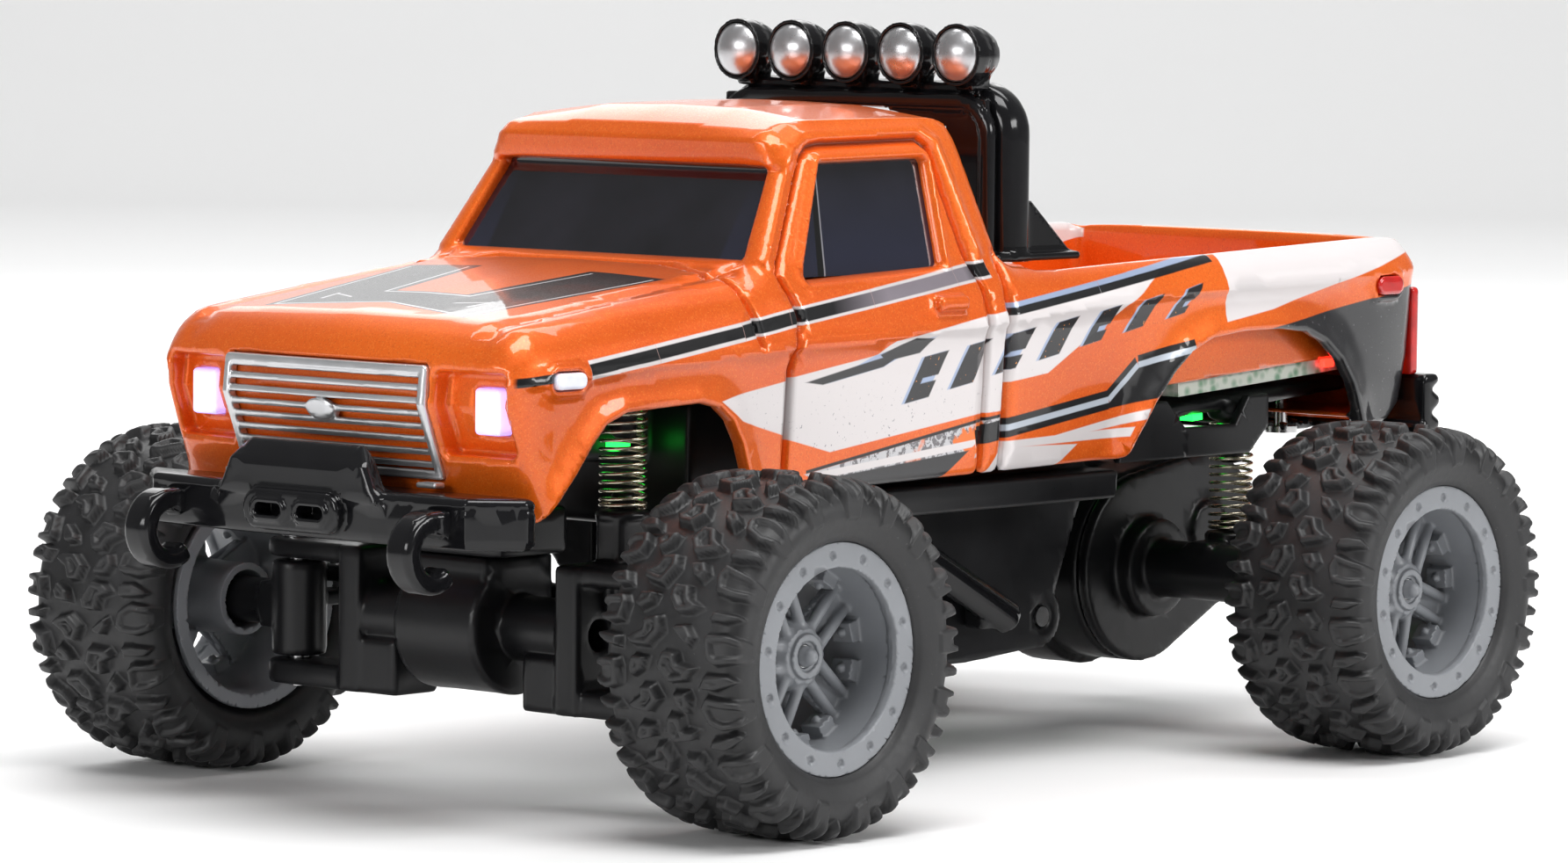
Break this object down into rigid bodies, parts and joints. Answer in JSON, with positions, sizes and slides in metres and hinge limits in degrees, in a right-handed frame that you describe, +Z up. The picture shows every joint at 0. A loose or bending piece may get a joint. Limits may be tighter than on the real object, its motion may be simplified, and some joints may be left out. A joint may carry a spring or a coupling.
{
  "type": "rc monster truck",
  "caption": "Small remote-controlled pickup monster truck with sprung tilting axles, steerable front wheels, geared rear drive, roll bar with roof lamps and chunky tyres.",
  "frame": {"origin": "on the ground under the centre of the bounding box", "axes": "+X to the truck's left side, -Y towards its front, +Z up"},
  "size_m": [0.0898, 0.146, 0.0714],
  "materials": {
    "body_paint": "gloss metallic orange",
    "smoked": "smoked",
    "silver": "satin silver",
    "clear_lens": "clear",
    "lit_lens": "lit",
    "red_lens": "gloss red",
    "gloss_black": "gloss",
    "matte_black": "matte",
    "reflector": "bright",
    "spring_wire": "plated",
    "steel": "bright",
    "brass": "satin",
    "board": "matte",
    "cell_wrap": "gloss",
    "lead": "matte",
    "white_plastic": "matte",
    "green_led": "lit",
    "rim_silver": "satin silver",
    "tyre": "matte"
  },
  "bodies": {
    "chassis": {"body_shell": "body_paint", "window_insert": "smoked", "grille": "silver", "headlamp_lenses": "lit_lens", "front_side_markers": "clear_lens", "rear_side_markers": "red_lens", "tail_lamp_lenses": "red_lens", "front_bumper": "gloss_black", "tow_hooks": "gloss_black", "rear_bumper": "gloss_black", "roll_bar": "gloss_black", "roof_lamp_housings": "gloss_black", "roof_lamp_lenses": "reflector", "chassis_frame": "gloss_black", "link_mount": "matte_black", "skid_braces": "matte_black", "front_springs": "spring_wire", "rear_springs": "spring_wire", "arm_pivot_pins": "steel", "battery": "cell_wrap", "circuit_board": "board", "board_components": "matte_black", "battery_leads": "lead", "switch_housing": "matte_black", "charge_socket": "matte_black", "underglow_leds": "green_led", "body_screws": "steel"},
    "switch": {"switch_slider": "white_plastic"},
    "front_arm": {"front_arm": "matte_black"},
    "front_axle": {"front_axle_housing": "matte_black", "steering_servo": "matte_black", "kingpins": "steel", "front_roll_pin": "steel"},
    "left_knuckle": {"left_knuckle": "matte_black", "left_stub_axle": "steel"},
    "right_knuckle": {"right_knuckle": "matte_black", "right_stub_axle": "steel"},
    "tie_rod": {"tie_rod": "matte_black"},
    "servo_horn": {"servo_horn": "white_plastic"},
    "front_left_wheel": {"front_left_rim": "rim_silver", "front_left_tyre": "tyre", "front_left_wheel_screw": "steel"},
    "front_right_wheel": {"front_right_rim": "rim_silver", "front_right_tyre": "tyre", "front_right_wheel_screw": "steel"},
    "rear_arm": {"rear_arm": "matte_black"},
    "rear_axle": {"rear_axle_housing": "matte_black", "gear_case_cover": "matte_black", "drive_motor": "steel", "rear_bushings": "brass", "rear_roll_pin": "steel"},
    "rear_wheelset": {"rear_axle_shaft": "steel", "axle_gear": "white_plastic", "rear_rims": "rim_silver", "rear_tyres": "tyre", "rear_wheel_screws": "steel"},
    "idler_gear": {"idler_gear": "white_plastic"},
    "motor_pinion": {"motor_pinion": "brass"}
  },
  "joints": [
    {"name": "power_switch", "type": "slide", "parent": "chassis", "child": "switch", "axis": [0, 1, 0], "range_m": [-0.001, 0.001]},
    {"name": "front_suspension", "type": "hinge", "parent": "chassis", "child": "front_arm", "pos_m": [0, -0.012, 0.013], "axis": [1, 0, 0], "range_deg": [-3.5, 3.5], "stiffness_Nm_per_rad": 1.2, "springref_deg": 0.83, "deforming": ["front_springs"]},
    {"name": "front_roll", "type": "hinge", "parent": "front_arm", "child": "front_axle", "pos_m": [0, -0.034, 0.0163], "axis": [0, 1, 0], "range_deg": [-7, 7], "stiffness_Nm_per_rad": 0.6, "deforming": ["front_springs"]},
    {"name": "left_steering", "type": "hinge", "parent": "front_axle", "child": "left_knuckle", "pos_m": [0.0235, -0.045, 0.0163], "axis": [0, 0, 1], "range_deg": [-20, 20]},
    {"name": "right_steering", "type": "hinge", "parent": "front_axle", "child": "right_knuckle", "pos_m": [-0.0235, -0.045, 0.0163], "axis": [0, 0, 1], "range_deg": [-20, 20]},
    {"name": "tie_rod_slide", "type": "slide", "parent": "front_axle", "child": "tie_rod", "axis": [1, 0, 0], "range_m": [-0.0024, 0.0024]},
    {"name": "servo_swing", "type": "hinge", "parent": "front_axle", "child": "servo_horn", "pos_m": [0, -0.04, 0.025], "axis": [0, 1, 0], "range_deg": [-28.8, 28.8]},
    {"name": "front_left_spin", "type": "hinge", "parent": "left_knuckle", "child": "front_left_wheel", "pos_m": [0.0367, -0.045, 0.0163], "axis": [1, 0, 0], "continuous": true},
    {"name": "front_right_spin", "type": "hinge", "parent": "right_knuckle", "child": "front_right_wheel", "pos_m": [-0.0367, -0.045, 0.0163], "axis": [1, 0, 0], "continuous": true},
    {"name": "rear_suspension", "type": "hinge", "parent": "chassis", "child": "rear_arm", "pos_m": [0, 0.024, 0.0129], "axis": [1, 0, 0], "range_deg": [-5, 5], "stiffness_Nm_per_rad": 1.2, "springref_deg": -0.69, "deforming": ["rear_springs"]},
    {"name": "rear_roll", "type": "hinge", "parent": "rear_arm", "child": "rear_axle", "pos_m": [0, 0.03, 0.0163], "axis": [0, 1, 0], "range_deg": [-7, 7], "stiffness_Nm_per_rad": 0.6, "deforming": ["rear_springs"]},
    {"name": "rear_wheels_spin", "type": "hinge", "parent": "rear_axle", "child": "rear_wheelset", "pos_m": [0, 0.045, 0.0163], "axis": [1, 0, 0], "continuous": true},
    {"name": "idler_spin", "type": "hinge", "parent": "rear_axle", "child": "idler_gear", "pos_m": [0, 0.05505, 0.01952], "axis": [1, 0, 0], "continuous": true},
    {"name": "pinion_spin", "type": "hinge", "parent": "rear_axle", "child": "motor_pinion", "pos_m": [0, 0.06331, 0.0173], "axis": [1, 0, 0], "continuous": true}
  ],
  "couplings": [
    {"joint": "right_steering", "follows": "left_steering", "ratio": 1},
    {"joint": "tie_rod_slide", "follows": "left_steering", "m_per_rad": -0.00686},
    {"joint": "servo_swing", "follows": "left_steering", "ratio": 1.43},
    {"joint": "idler_spin", "follows": "rear_wheels_spin", "ratio": -2.5},
    {"joint": "pinion_spin", "follows": "rear_wheels_spin", "ratio": 6}
  ]
}
